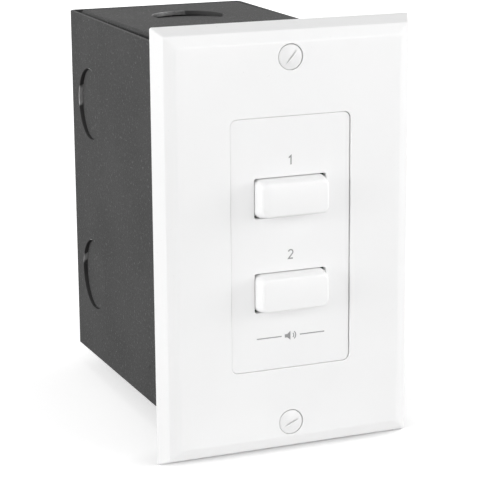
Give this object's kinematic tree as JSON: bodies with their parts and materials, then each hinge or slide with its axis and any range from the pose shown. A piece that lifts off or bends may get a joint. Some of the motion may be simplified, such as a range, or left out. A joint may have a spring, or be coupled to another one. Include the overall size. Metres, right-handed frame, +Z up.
{
  "type": "speaker selector switch",
  "caption": "In-wall speaker selector: bevelled white wall plate with two rectangular latching push buttons in an inset panel, on a deep dark steel back box with knockouts.",
  "frame": {"origin": "centre of the wall plane, where the wall plate's rim bears on the wall", "axes": "+X right as seen from the front, +Y into the wall, +Z up; the buttons face -Y"},
  "size_m": [0.0716, 0.1041, 0.1142],
  "materials": {
    "plate_white": "smooth moulded white, semi-gloss",
    "bezel_white": "smooth moulded white, satin",
    "button_white": "smooth moulded white, semi-gloss",
    "screw_white": "white paint over steel",
    "zinc_steel": "zinc-plated steel",
    "nickel_brass": "nickel-plated brass",
    "board_laminate": "glass-epoxy laminate with green solder mask",
    "switch_black": "moulded black nylon",
    "switch_base": "brown phenolic base",
    "slider_white": "natural acetal",
    "contact_silver": "silver-plated copper alloy",
    "spring_steel": "spring wire",
    "terminal_plastic": "green polyamide",
    "box_paint": "dark grey fine-texture paint over steel sheet"
  },
  "bodies": {
    "frame": {"wall_plate": "plate_white", "plate_screws": "screw_white", "front_bezel": "bezel_white", "mounting_strap": "zinc_steel", "device_screws": "zinc_steel", "bezel_screws": "zinc_steel", "board_screws": "zinc_steel", "board_standoffs": "nickel_brass", "circuit_board": "board_laminate", "box_wrap": "box_paint", "box_top": "box_paint", "box_bottom": "box_paint", "switch_1_housing": "switch_black", "switch_1_base": "switch_base", "switch_1_blades": "contact_silver", "switch_1_spring": "spring_steel", "switch_2_housing": "switch_black", "switch_2_base": "switch_base", "switch_2_blades": "contact_silver", "switch_2_spring": "spring_steel", "terminal_in_housing": "terminal_plastic", "terminal_in_cages": "nickel_brass", "terminal_in_screws": "zinc_steel", "terminal_in_bars": "contact_silver", "terminal_out_1_housing": "terminal_plastic", "terminal_out_1_cages": "nickel_brass", "terminal_out_1_screws": "zinc_steel", "terminal_out_1_bars": "contact_silver", "terminal_out_2_housing": "terminal_plastic", "terminal_out_2_cages": "nickel_brass", "terminal_out_2_screws": "zinc_steel", "terminal_out_2_bars": "contact_silver"},
    "button_1": {"button_1": "button_white", "switch_1_slider": "slider_white", "switch_1_bridges": "contact_silver"},
    "latch_1": {"switch_1_latch_pin": "spring_steel"},
    "button_2": {"button_2": "button_white", "switch_2_slider": "slider_white", "switch_2_bridges": "contact_silver"},
    "latch_2": {"switch_2_latch_pin": "spring_steel"}
  },
  "joints": [
    {"name": "button_1_press", "type": "slide", "parent": "frame", "child": "button_1", "axis": [0, 1, 0], "range_m": [0, 0.003], "stiffness_N_per_m": 600, "springref_m": -0.002, "deforming": ["switch_1_spring"]},
    {"name": "latch_1_swing", "type": "hinge", "parent": "frame", "child": "latch_1", "pos_m": [0.007, 0.0154, 0.0125], "axis": [-1, 0, 0], "range_deg": [0, 7.5]},
    {"name": "button_2_press", "type": "slide", "parent": "frame", "child": "button_2", "axis": [0, 1, 0], "range_m": [0, 0.003], "stiffness_N_per_m": 600, "springref_m": -0.002, "deforming": ["switch_2_spring"]},
    {"name": "latch_2_swing", "type": "hinge", "parent": "frame", "child": "latch_2", "pos_m": [0.007, 0.0154, -0.0125], "axis": [-1, 0, 0], "range_deg": [0, 7.5]}
  ],
  "couplings": [
    {"joint": "latch_1_swing", "follows": "button_1_press", "rad_per_m": 43.633},
    {"joint": "latch_2_swing", "follows": "button_2_press", "rad_per_m": 43.633}
  ]
}
